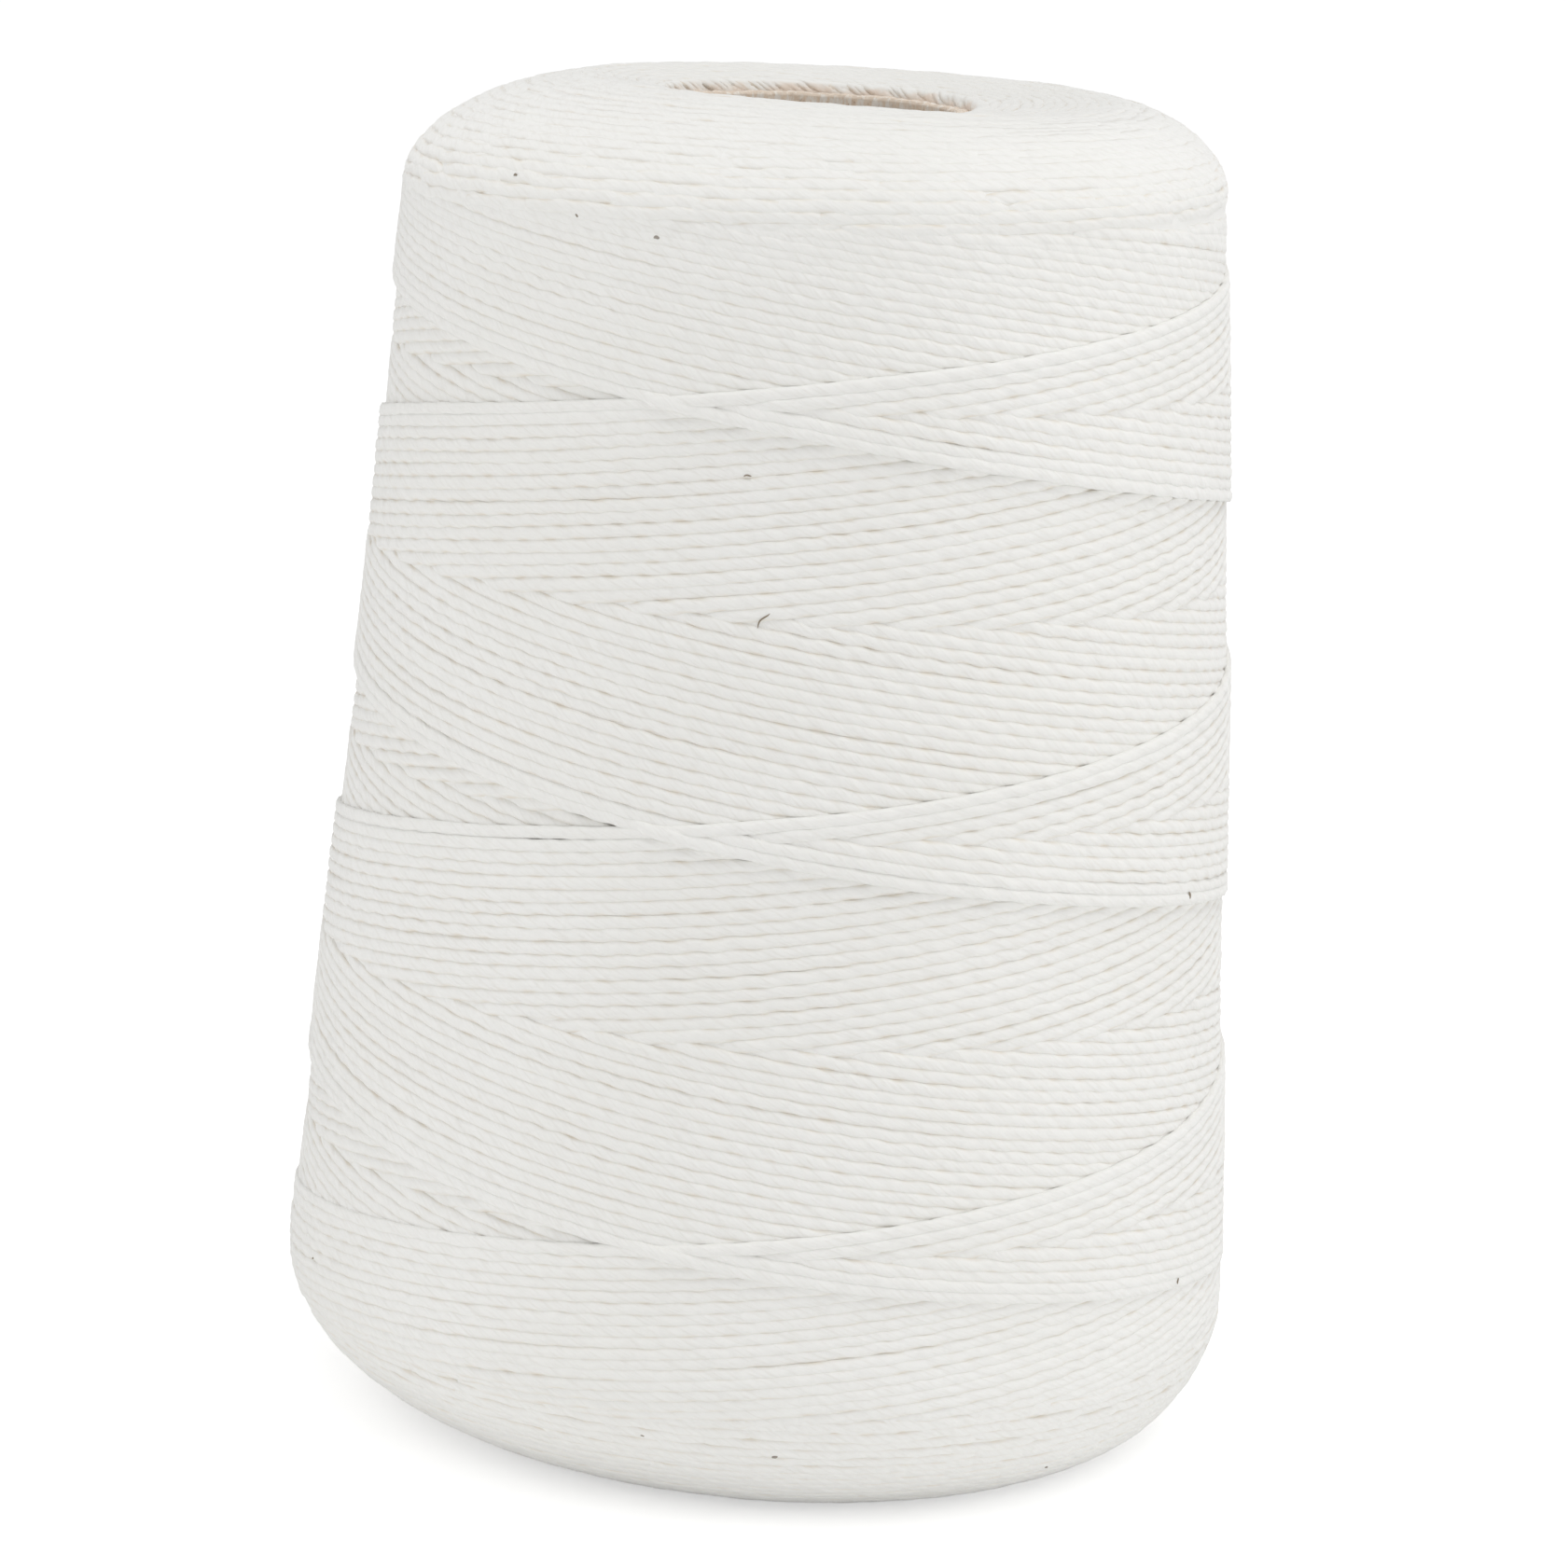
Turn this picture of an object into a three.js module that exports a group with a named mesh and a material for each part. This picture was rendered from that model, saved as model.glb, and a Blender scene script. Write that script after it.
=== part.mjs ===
// Roll of cooking twine: white cotton twine wound on a tapered paper core.
// Millimetres, +Z up. The origin is on the surface that the roll stands on, under its axis.

import * as THREE from 'three';

// ---------------------------------------------------------------- driving dimensions

const packageHeight = 164.0;  // up to the brow, the ridge where the top shoulder ends
const coreTaperDegrees = 4.33;

const base = {
  radius: 58.5,        // wound radius where the bottom shoulder starts
  sideStart: 19.4,     // height at which it starts
  shoulderRise: 19.9,  // half height of its ellipse, the last bit pressed flat by standing
  shoulderReach: 23.0, // half width of its ellipse
  reachSwing: 0.26,    // share by which it reaches in less on the right, and more on the left
};

const top = {
  radius: 49.4,        // wound radius where the top shoulder starts
  shoulderTop: 164.5,  // height at which its ellipse would level off, just over the brow
  shoulderRise: 12.3,
  shoulderReach: 23.2,
  riseSwing: 0.14,
  reachSwing: 0.22,
};

const rim = {
  radius: 18.3,        // opening in the top of the wound twine
  sag: 1.1,            // how far the rim lies below the brow
  rounding: 1.0,
};

const dip = {
  depth: 0.8,          // the crown lies this much lower on the front right
  degrees: 52.0,
  spreadDegrees: 34.0,
  outerRadius: 44.0,   // it starts here and is full at the inner radius
  innerRadius: 34.0,
};

const winding = {
  pitch: 49.0,               // height that the twine climbs in one turn
  crossingHeight: 82.5,      // where the climbing and falling edges of the last layer cross
  crossingDegrees: -16.0,    // on which side they cross, counted from the front
  step: 0.65,                // how far the edge of a layer stands proud of the one beneath
  lowEnd: 12.0,              // the last layer turns back at these heights
  highEnd: 152.5,
  lowFade: 24.0,             // the steps die out over these heights towards each end
  highFade: 10.0,
};

const core = {
  wall: 2.0,
  topRecess: 1.1,      // below the twine's rim
  baseRecess: 0.8,     // above the surface it stands on
  edgeBreak: 0.4,
};

const fit = 0.3;             // clear gap between the twine and the core
const columns = 36;          // facets round the roll and its core
const shoulderRows = 9;
const crownRows = 3;
const tolerance = 1e-3;

const white = new THREE.MeshStandardMaterial({ color: 0xebe9e4, roughness: 0.95, metalness: 0 });
const kraft = new THREE.MeshStandardMaterial({ color: 0xb39b7c, roughness: 0.85, metalness: 0 });

// ---------------------------------------------------------------- worked out from them

const rowStep = winding.pitch / columns;
const topSideEnd = top.shoulderTop - top.shoulderRise;
const sideSlope = (top.radius - base.radius) / (topSideEnd - base.sideStart);
const rimHeight = packageHeight - rim.sag;
const coreTop = rimHeight - core.topRecess;
const coreSlope = Math.tan(THREE.MathUtils.degToRad(coreTaperDegrees));
const crossingAngle = THREE.MathUtils.degToRad(winding.crossingDegrees);

// Radius of the hole in the wound twine. It tapers with the core, and opens downwards.
function boreRadius(height) {
  return rim.radius + coreSlope * (rimHeight - height);
}

// How far an elliptical shoulder draws in, at a given share of its rise.
function drawIn(share, reach) {
  const clamped = Math.min(Math.max(share, 0), 1);
  return reach * (1 - Math.sqrt(1 - clamped ** 2));
}

// Radius of the wound form without the steps of its layers. The angle is 0 at the front and
// grows to the right, where both shoulders are a little squarer than on the left.
function woundRadius(height, angle) {
  const right = Math.sin(angle);
  const side = base.radius + sideSlope * (height - base.sideStart);
  const topRise = top.shoulderRise * (1 - top.riseSwing * right);
  const lowShare = (base.sideStart - height) / base.shoulderRise;
  const highShare = (height - top.shoulderTop + topRise) / topRise;
  const low = drawIn(lowShare, base.shoulderReach * (1 - base.reachSwing * right));
  const high = drawIn(highShare, top.shoulderReach * (1 - top.reachSwing * right));
  return side - low - high;
}

// ---------------------------------------------------------------- the steps of the last layer

// 1 on the edge of the layer, falling evenly to 0 where that edge comes round again.
function fallBehind(distance) {
  const turns = distance / winding.pitch;
  return 1 - (turns - Math.floor(turns + 1e-6));
}

// Height of the surface above the smooth form, from the climbing and the falling edge.
function layerRelief(angle, height) {
  const climb = winding.pitch * (angle - crossingAngle) / (2 * Math.PI);
  const above = height - winding.crossingHeight;
  const climbing = fallBehind(climb - above);
  const falling = fallBehind(above + climb);
  const toLowEnd = (height - winding.lowEnd) / winding.lowFade;
  const toHighEnd = (winding.highEnd - height) / winding.highFade;
  const strength = THREE.MathUtils.clamp(Math.min(toLowEnd, toHighEnd), 0, 1);
  return winding.step * strength * (climbing + falling - 1);
}

// ---------------------------------------------------------------- the wound twine

// Heights on the side, a whole number of row steps from the crossing, so edges meet vertices.
function sideHeights() {
  const first = Math.ceil((base.sideStart - winding.crossingHeight) / rowStep);
  const last = Math.floor((topSideEnd - winding.crossingHeight) / rowStep);
  const heights = [];
  for (let row = first; row <= last; row += 1) {
    heights.push(winding.crossingHeight + row * rowStep);
  }
  return heights;
}

// Heights round a shoulder of even arc steps, from its last height to just short of the side.
// The level end is where its ellipse would level off.
function shoulderHeights(lastHeight, levelEnd, sideEnd) {
  const lastArc = Math.asin((lastHeight - sideEnd) / (levelEnd - sideEnd));
  const heights = [];
  for (let row = 0; row < shoulderRows; row += 1) {
    const share = Math.sin(lastArc * (1 - row / shoulderRows));
    heights.push(sideEnd + share * (levelEnd - sideEnd));
  }
  return heights;
}

// The crown falls evenly from the brow to a rounded rim round the core.
function crownPoints() {
  const points = [];
  const browRadius = woundRadius(packageHeight, 0);
  const reach = browRadius - rim.radius - rim.rounding;
  for (let row = 1; row <= crownRows; row += 1) {
    const share = row / crownRows;
    points.push(new THREE.Vector2(browRadius - share * reach, packageHeight - share * rim.sag));
  }
  const boreTop = rimHeight - rim.rounding;
  points.push(new THREE.Vector2(boreRadius(boreTop), boreTop));
  return points;
}

// Closed outline of the wound twine: base, bottom shoulder, side, top shoulder, crown, bore.
function packageOutline() {
  const heights = [
    ...shoulderHeights(0, base.sideStart - base.shoulderRise, base.sideStart),
    ...sideHeights(),
    ...shoulderHeights(packageHeight, top.shoulderTop, topSideEnd).reverse(),
  ];
  const baseCorner = new THREE.Vector2(boreRadius(0), 0);
  const outside = heights.map((height) => new THREE.Vector2(woundRadius(height, 0), height));
  return [baseCorner, ...outside, ...crownPoints(), baseCorner];
}

// Radius at which a point of the turned form really lies, once its shoulders are uneven and
// the steps of the last layer are added. The bore stays round.
function unevenRadius(radius, height, angle) {
  const evenBrow = woundRadius(packageHeight, 0);
  if (height > rimHeight - tolerance && radius < evenBrow - tolerance) {
    const reach = woundRadius(packageHeight, angle) - rim.radius;
    return rim.radius + reach * (radius - rim.radius) / (evenBrow - rim.radius);
  }
  if (radius > boreRadius(height) + tolerance) {
    return woundRadius(height, angle) + layerRelief(angle, height);
  }
  return radius;
}

// How far the crown lies low at a point of the turned form.
function crownDip(radius, height, angle) {
  if (height < rimHeight - tolerance) {
    return 0;
  }
  const away = (THREE.MathUtils.radToDeg(angle) - dip.degrees) / dip.spreadDegrees;
  const inwards = THREE.MathUtils.smoothstep(-radius, -dip.outerRadius, -dip.innerRadius);
  return dip.depth * inwards * Math.exp(-(away ** 2));
}

function makeUneven(geometry) {
  const position = geometry.attributes.position;
  const point = new THREE.Vector3();
  for (let index = 0; index < position.count; index += 1) {
    point.fromBufferAttribute(position, index);
    const radius = Math.hypot(point.x, point.y);
    const angle = Math.atan2(point.x, -point.y);
    const uneven = unevenRadius(radius, point.z, angle);
    const height = point.z - crownDip(uneven, point.z, angle);
    position.setXYZ(index, point.x * uneven / radius, point.y * uneven / radius, height);
  }
}

// Splits each four-sided facet along the diagonal whose ends are nearest in radius, so that
// the edges of the layers stay sharp in both directions.
function splitAlongEdges(geometry, outlineCount) {
  const position = geometry.attributes.position;
  const radiusOf = (index) => Math.hypot(position.getX(index), position.getY(index));
  const triangles = [];
  for (let column = 0; column < columns; column += 1) {
    for (let row = 0; row < outlineCount - 1; row += 1) {
      const lowLeft = row + column * outlineCount;
      const lowRight = lowLeft + outlineCount;
      const highLeft = lowLeft + 1;
      const highRight = lowRight + 1;
      const climbing = Math.abs(radiusOf(lowLeft) - radiusOf(highRight));
      const falling = Math.abs(radiusOf(lowRight) - radiusOf(highLeft));
      if (climbing < falling) {
        triangles.push(lowLeft, lowRight, highRight, lowLeft, highRight, highLeft);
      } else {
        triangles.push(lowLeft, lowRight, highLeft, lowRight, highRight, highLeft);
      }
    }
  }
  geometry.setIndex(triangles);
}

function makeWoundTwine() {
  const outline = packageOutline();
  const geometry = new THREE.LatheGeometry(outline, columns, crossingAngle);
  geometry.rotateX(Math.PI / 2);
  makeUneven(geometry);
  splitAlongEdges(geometry, outline.length);
  geometry.computeVertexNormals();
  const mesh = new THREE.Mesh(geometry, white);
  mesh.name = 'wound_twine';
  return mesh;
}

// ---------------------------------------------------------------- the paper core

// A tapered tube, a little short of the twine at both ends, with its cut edges broken.
function makePaperCore() {
  const outer = (height) => boreRadius(height) - fit;
  const inner = (height) => outer(height) - core.wall;
  const low = core.baseRecess;
  const high = coreTop;
  const edge = core.edgeBreak;
  const outline = [
    new THREE.Vector2(inner(low) + edge, low),
    new THREE.Vector2(outer(low) - edge, low),
    new THREE.Vector2(outer(low + edge), low + edge),
    new THREE.Vector2(outer(high - edge), high - edge),
    new THREE.Vector2(outer(high) - edge, high),
    new THREE.Vector2(inner(high) + edge, high),
    new THREE.Vector2(inner(high - edge), high - edge),
    new THREE.Vector2(inner(low + edge), low + edge),
    new THREE.Vector2(inner(low) + edge, low),
  ];
  const geometry = new THREE.LatheGeometry(outline, columns, crossingAngle);
  geometry.rotateX(Math.PI / 2);
  const mesh = new THREE.Mesh(geometry, kraft);
  mesh.name = 'paper_core';
  return mesh;
}

// ---------------------------------------------------------------- the object

const roll = new THREE.Group();
roll.add(makeWoundTwine());
roll.add(makePaperCore());

export default roll;
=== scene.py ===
import math

import bpy
import numpy as np
from mathutils import Matrix, Vector


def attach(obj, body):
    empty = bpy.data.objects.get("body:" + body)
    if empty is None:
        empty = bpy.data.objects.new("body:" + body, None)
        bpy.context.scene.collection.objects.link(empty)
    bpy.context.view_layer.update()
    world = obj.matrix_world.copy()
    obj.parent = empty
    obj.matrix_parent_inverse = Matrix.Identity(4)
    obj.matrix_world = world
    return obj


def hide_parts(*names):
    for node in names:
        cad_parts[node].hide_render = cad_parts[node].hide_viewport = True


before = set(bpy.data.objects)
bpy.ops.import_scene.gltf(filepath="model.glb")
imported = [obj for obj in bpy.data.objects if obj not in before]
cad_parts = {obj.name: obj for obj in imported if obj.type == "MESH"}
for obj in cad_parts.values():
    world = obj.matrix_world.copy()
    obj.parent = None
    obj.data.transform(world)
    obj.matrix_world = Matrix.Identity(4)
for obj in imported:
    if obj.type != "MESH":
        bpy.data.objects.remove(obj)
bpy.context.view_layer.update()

# Roll of cooking twine: the wound cotton on its paper core. Lengths are in millimetres until
# a mesh is made. Azimuth 0 is the front (-Y) and grows to the right.

MM = 0.001
TURN = 2 * math.pi
rng = np.random.default_rng(41)

# ---------------------------------------------------------------- the wound form, as in CAD

HEIGHT, SHOULDER_TOP = 164.0, 164.5   # the brow, and where the shoulder would level off
# The side is a cone. The rounded edge at each end has a rise and a reach inwards, and a swing
# is the share by which one of them is less on the right and more on the left.
BASE_R, SIDE_START, LOW_RISE, LOW_REACH, LOW_SWING = 58.5, 19.4, 19.9, 23.0, 0.26
TOP_R, HIGH_RISE, HIGH_REACH, RISE_SWING, HIGH_SWING = 49.4, 12.3, 23.2, 0.14, 0.22
BELLY, BELLY_Z, BELLY_SPREAD = 0.55, 104.0, 34.0   # the side swells a little on the right
RIM_R, RIM_SAG, RIM_ROUND = 18.3, 1.1, 1.0   # the rim of the hole lies below the brow
# a shallow dip of the crown: depth, azimuth, spread in degrees, and the radii it comes in over
DIP, DIP_AZ, DIP_SPREAD, DIP_OUTER, DIP_INNER = 0.8, 52.0, 34.0, 44.0, 34.0
CORE_TAPER = math.tan(math.radians(4.33))
CORE_WALL, CORE_LOW, CORE_HIGH, FIT = 2.0, 0.8, 161.45, 0.3
PAPER_PLY = 0.42        # thickness of one ply of the core's paper
RIM_HEIGHT = HEIGHT - RIM_SAG
HIGH_START = SHOULDER_TOP - HIGH_RISE
SIDE_SLOPE = (TOP_R - BASE_R) / (HIGH_START - SIDE_START)
BROW_TILT = math.asin(1 - (SHOULDER_TOP - HEIGHT) / HIGH_RISE)


def smoothstep(x):
    x = np.clip(x, 0, 1)
    return x * x * (3 - 2 * x)


def bore_radius(z):
    return RIM_R + CORE_TAPER * (RIM_HEIGHT - z)


def side_radius(z):
    return BASE_R + SIDE_SLOPE * (z - SIDE_START)


def draw_in(share, reach):
    share = np.clip(share, 0, 1)
    return reach * (1 - np.sqrt(1 - share**2))


def wound_radius(z, azimuth):
    """Radius of the smooth form of the side and both shoulders."""
    right = np.sin(azimuth)
    rise = HIGH_RISE * (1 - RISE_SWING * right)
    low = draw_in((SIDE_START - z) / LOW_RISE, LOW_REACH * (1 - LOW_SWING * right))
    high = draw_in((z - SHOULDER_TOP + rise) / rise, HIGH_REACH * (1 - HIGH_SWING * right))
    belly = BELLY * np.exp(-(((z - BELLY_Z) / BELLY_SPREAD) ** 2))
    return side_radius(z) - low - high + belly * right


def crown_dip(radius, azimuth):
    """The crown lies a little lower on the front right."""
    away = (np.degrees(azimuth) - DIP_AZ + 180) % 360 - 180
    inwards = smoothstep((DIP_OUTER - radius) / (DIP_OUTER - DIP_INNER))
    return DIP * inwards * np.exp(-((away / DIP_SPREAD) ** 2))


# ---------------------------------------------------------------- how the twine was laid

PITCH = 49.0            # climb in one turn, halfway up
TOP_EASE, BASE_EASE = 0.287, 0.20   # by which a pass gets flatter towards each end
CYCLES = 33             # up and down passes until the twine lies beside itself again
CROSS_Z = 82.5          # height of the middle crossing on the front
CROSS_AZ = math.radians(-16.0)
SHEAR = math.radians(-0.066)   # by which the crossings move sideways for each mm of height
UP_TURNS, DOWN_TURNS = 1.5, 1.5 - 0.5 / CYCLES   # turns from halfway up to the two ends
CYCLE_TURNS = 2 * (UP_TURNS + DOWN_TURNS)
LAYER = 0.65            # height of one layer of pressed twine
STEPS_FROM, STEPS_TO = 12.0, 152.5   # heights between which the layers make steps
STEPS_IN, STEPS_OUT, STEPS_LEAST = 24.0, 10.0, 0.35   # they fade over these, down to a share
TURN_BACK = 10 / 360    # turns over which it rounds the end of a pass
END_SCATTER, END_REACH = 0.20, 0.13   # each end lands higher or lower, and for how many turns
SAMPLE, MEAN_R = 0.8, 54   # mm between points along the twine, and a middling radius
COVERED, REACH_UNDER = 0.93, 4   # a strand ends this many points after it is so far covered
HALF_WIDTH, HALF_THICK = 0.92, 0.45   # of a pressed strand, which overlaps its neighbours
OPEN_HALF_WIDTH, OPEN_LEAN = 0.87, 0.15   # of the last cycle, pressed from one side only
LAY = 8.4               # length in which its two plies go once round
PLY_DEPTH = 0.075       # share by which the two plies make a strand bulge
BOWS = 33.4             # turn-backs that lie side by side in one turn round a shoulder
BOW_SPACING = 1.36      # from one row of them to the next
PIECE_TRIANGLES = 185000   # about the most in one piece
BODY_DEPTH = 0.30       # how far the mass of twine lies below the crests of the last cover
RIM_DEPTH = 0.25        # and below the crests of the strands over the rim


def pass_height(turns):
    """Height reached at so many turns above (+) or below (-) the middle of a pass."""
    up = np.maximum(turns, 0)
    down = np.maximum(-turns, 0)
    rise = up * (1 - TOP_EASE / 5 * (up / UP_TURNS) ** 4)
    fall = down * (1 - BASE_EASE / 4 * (down / UP_TURNS) ** 3)
    return CROSS_Z + PITCH * (rise - fall)


TURNS_TABLE = np.linspace(-1.7, 1.7, 3401)
HEIGHT_TABLE = pass_height(TURNS_TABLE)


def pass_turns(z):
    return np.interp(z, HEIGHT_TABLE, TURNS_TABLE)


def layer_ages(azimuth, z):
    """How many cycles ago the climbing and the falling twine at this place were laid."""
    turns = pass_turns(z)
    around = (azimuth - SHEAR * (z - CROSS_Z) - CROSS_AZ) / TURN
    climbing = np.mod(around - turns, 1) * CYCLES
    falling = np.mod(around + turns, 1) * CYCLES
    return climbing, falling


def layer_height(z):
    """Height of a layer here. It dies down a little towards both ends."""
    strength = np.minimum((z - STEPS_FROM) / STEPS_IN, (STEPS_TO - z) / STEPS_OUT)
    return LAYER * np.clip(strength, STEPS_LEAST, 1)


def wander(count, length, size):
    """A smooth random offset along a strand, which changes over this length in mm."""
    knots = int(count * SAMPLE / length) + 4
    values = rng.normal(0, size, knots)
    at = np.arange(count) * SAMPLE / length
    low = np.floor(at).astype(int)
    part = smoothstep(at - low)
    return values[low] * (1 - part) + values[low + 1] * part


def smooth_along(values, reach):
    kernel = np.hanning(2 * reach + 3)[1:-1]
    padded = np.pad(values, reach, mode="edge")
    return np.convolve(padded, kernel / kernel.sum(), mode="valid")


def heights_along(time):
    """Height of the winding twine at each time in turns, and whether it climbs."""
    count = len(time)
    within = np.mod(time, CYCLE_TURNS)
    # turns above the middle, rounded off where a pass turns back
    to_top = within - (UP_TURNS + DOWN_TURNS)
    to_base = np.minimum(within, CYCLE_TURNS - within)
    turns = UP_TURNS - np.sqrt(to_top**2 + TURN_BACK**2)
    near_base = to_base < 1.0
    turns[near_base] = -DOWN_TURNS + np.sqrt(to_base[near_base] ** 2 + TURN_BACK**2)
    z = pass_height(turns)
    z += wander(count, 34.0, 0.07) + wander(count, 9.0, 0.035)
    ends = rng.normal(0, END_SCATTER, (2, CYCLES + 2))
    index = np.floor(time / CYCLE_TURNS).astype(int)
    z += ends[0][index] * np.exp(-((to_top / END_REACH) ** 2))
    nearest = np.round(time / CYCLE_TURNS).astype(int)
    z += ends[1][nearest] * np.exp(-((to_base / END_REACH) ** 2))
    return z, to_top < 0


def lift_along(azimuth, z, cycle, climbing):
    """Height above the smooth form, and the share by which later twine covers it."""
    age_up, age_down = layer_ages(azimuth, z)
    other = np.where(climbing, age_down, age_up)
    later = np.where(climbing, 1, -1) * (0.5 - pass_turns(z) / (2 * UP_TURNS))
    under = smoothstep(cycle - other + later + 0.5)
    layer = layer_height(z)
    relief = layer * (1 - (cycle + other) / CYCLES)
    lift = smooth_along(relief - layer * under, 3) + wander(len(z), 12.0, 0.03)
    return lift, under


def last_cover():
    """The last 33 cycles as one long strand in fine, even samples, oldest first."""
    total = CYCLES * CYCLE_TURNS
    count = int(total * TURN * MEAN_R / SAMPLE)
    time = np.linspace(0, total, count)
    cycle = CYCLES - 1 - np.floor(time / CYCLE_TURNS).clip(0, CYCLES - 1)
    z, climbing = heights_along(time)
    start = CROSS_AZ + TURN * ((CYCLES - 1) / CYCLES - DOWN_TURNS)
    azimuth = start + TURN * time + SHEAR * (z - CROSS_Z)
    lift, under = lift_along(azimuth, z, cycle, climbing)
    radius = wound_radius(z, azimuth) + lift - LAYER / 2
    return {
        "azimuth": azimuth, "z": z, "radius": radius, "under": under, "cycle": cycle,
        "rising": smooth_along(climbing.astype(float), 4),
    }


# ---------------------------------------------------------------- meshes

def make_object(name, points, faces_quads, material, smooth=True, uv=None, polygons=()):
    """A mesh from points in mm, four-sided faces, and any other polygons."""
    mesh = bpy.data.meshes.new(name)
    loops = np.concatenate(
        [np.asarray(faces_quads).ravel(), *[np.asarray(p) for p in polygons]]
    ).astype(np.int32)
    counts = np.concatenate(
        [np.full(len(faces_quads), 4), np.array([len(p) for p in polygons], int)]
    ).astype(np.int32)
    mesh.vertices.add(len(points))
    mesh.vertices.foreach_set("co", (np.asarray(points) * MM).astype(np.float32).ravel())
    mesh.loops.add(len(loops))
    mesh.loops.foreach_set("vertex_index", loops)
    mesh.polygons.add(len(counts))
    starts = np.concatenate([[0], np.cumsum(counts)[:-1]]).astype(np.int32)
    mesh.polygons.foreach_set("loop_start", starts)
    for label, values in (uv or {}).items():
        layer = mesh.uv_layers.new(name=label, do_init=False)
        filled = np.zeros((len(loops), 2), np.float32)
        filled[: len(values)] = values
        layer.uv.foreach_set("vector", filled.ravel())
    mesh.update(calc_edges=True)
    mesh.validate()
    mesh.polygons.foreach_set("use_smooth", np.full(len(mesh.polygons), smooth))
    mesh.materials.append(material)
    made = bpy.data.objects.new(name, mesh)
    bpy.context.scene.collection.objects.link(made)
    return made


# corners of a strand's section: angle round it, and how far out it lies. The pressed strand
# is round outside and spreads where it sits on the layer below.
SECTION = np.array([[-40, 1.42], [28, 0.97], [69, 1.0], [111, 1.0], [152, 0.97], [220, 1.42]])
OPEN_FOOT = 1.12        # how far its foot spreads on the side where no later twine lies
REST_LOW, REST_SPREAD, GOLDEN = 0.01, 0.07, 0.618   # the lowest strands rest at spread heights
ROUND_SECTION = np.array([[0, 1], [60, 1], [120, 1], [180, 1], [240, 1], [300, 1]])


def unit(vectors):
    return vectors / np.linalg.norm(vectors, axis=1, keepdims=True)


def across_strand(points, outward, same):
    """Two directions square to a strand: away from the layer below it, and beside it."""
    ahead = points.copy()
    behind = points.copy()
    ahead[:-1][same] = points[1:][same]
    behind[1:][same] = points[:-1][same]
    along = unit(ahead - behind)
    across = unit(outward - (outward * along).sum(1, keepdims=True) * along)
    return across, np.cross(across, along)


def strand_rings(points, outward, strand, width, thick, twist, ply_depth, section, feet):
    """A ring of corners round each point of the middle lines."""
    across, beside = across_strand(points, outward, strand[1:] == strand[:-1])
    angle = np.radians(section[:, 0])
    reach = np.repeat(section[None, :, 1], len(points), axis=0)
    if feet is not None:
        reach[:, 0], reach[:, -1] = feet
    turned = TURN * twist[:, None]
    bulge = reach * (1 + np.reshape(ply_depth, (-1, 1)) * np.cos(2 * (angle[None] - turned)))
    rings = (
        points[:, None]
        + beside[:, None] * (np.cos(angle) * width[:, None] * bulge)[..., None]
        + across[:, None] * (np.sin(angle) * thick[:, None] * bulge)[..., None]
    )
    # none goes below the surface it stands on, and no two lie in one plane there
    rest = REST_LOW + REST_SPREAD * np.mod(GOLDEN * strand, 1)
    rings[..., 2] += np.maximum(rest - rings[..., 2].min(axis=1), 0)[:, None]
    return rings


def ply_map(first, twist, round_at):
    """Turns of twist along a strand, and turns round it."""
    v0, v1 = round_at[:-1], round_at[1:]
    t0, t1 = twist[first][:, None], twist[first + 1][:, None]
    full = np.ones((len(first), len(v0)))
    corners = ((t0, v0), (t0, v1), (t1, v1), (t1, v0))
    return np.stack([np.stack([t * full, v * full], -1) for t, v in corners], 2).reshape(-1, 2)


def bake_map(points, first, round_at):
    """A map with the twine in rows that don't overlap, and the number of its rows."""
    travelled = float(np.linalg.norm(points[first + 1] - points[first], axis=1).sum())
    rows = max(4, int(math.sqrt(travelled / 4)))
    per_row = math.ceil(len(first) / rows)
    row = np.arange(len(first)) // per_row
    left = (np.arange(len(first)) % per_row) / per_row
    right = left + 1 / per_row
    span = (round_at - round_at[0]) * 0.9 + 0.05
    low = (row[:, None] + span[:-1]) / (rows + 1)
    high = (row[:, None] + span[1:]) / (rows + 1)
    full = np.ones_like(low)
    left, right = left[:, None] * full, right[:, None] * full
    corners = ((left, low), (left, high), (right, high), (right, low))
    return np.stack([np.stack(c, -1) for c in corners], 2).reshape(-1, 2), rows


def sweep(name, points, outward, strand, width, thick, twist, material,
          ply_depth=PLY_DEPTH, section=SECTION, feet=None):
    """Twine along one or more strands. Each row is a point on a strand's middle line."""
    rings = strand_rings(points, outward, strand, width, thick, twist, ply_depth, section, feet)
    sides = len(section)
    same = strand[1:] == strand[:-1]
    first, last = np.nonzero(same)[0], np.nonzero(~same)[0]
    j = np.arange(sides)
    k = (j + 1) % sides
    a, b = first[:, None] * sides, (first + 1)[:, None] * sides
    quads = np.stack([a + j, a + k, b + k, b + j], -1).reshape(-1, 4)
    starts = np.concatenate([[0], last + 1])
    ends = np.concatenate([last, [len(points) - 1]])
    caps = [list(s * sides + j[::-1]) for s in starts] + [list(e * sides + j) for e in ends]
    angle = np.radians(section[:, 0])
    round_at = np.append(angle, angle[0] + TURN) / TURN
    bake, rows = bake_map(points, first, round_at)
    # the cut ends share one spot above the last row
    around = np.tile(np.stack([np.cos(angle), np.sin(angle)], -1), (len(caps), 1))
    spot = np.array([0.5, (rows + 0.5) / (rows + 1)]) + around * 0.3 / (rows + 1)
    uv = {"ply": ply_map(first, twist, round_at), "OFBake": np.concatenate([bake, spot])}
    return make_object(name, rings.reshape(-1, 3), quads, material, uv=uv, polygons=caps)


def place(azimuth, radius, z):
    return np.stack([radius * np.sin(azimuth), -radius * np.cos(azimuth), z], -1)


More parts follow.
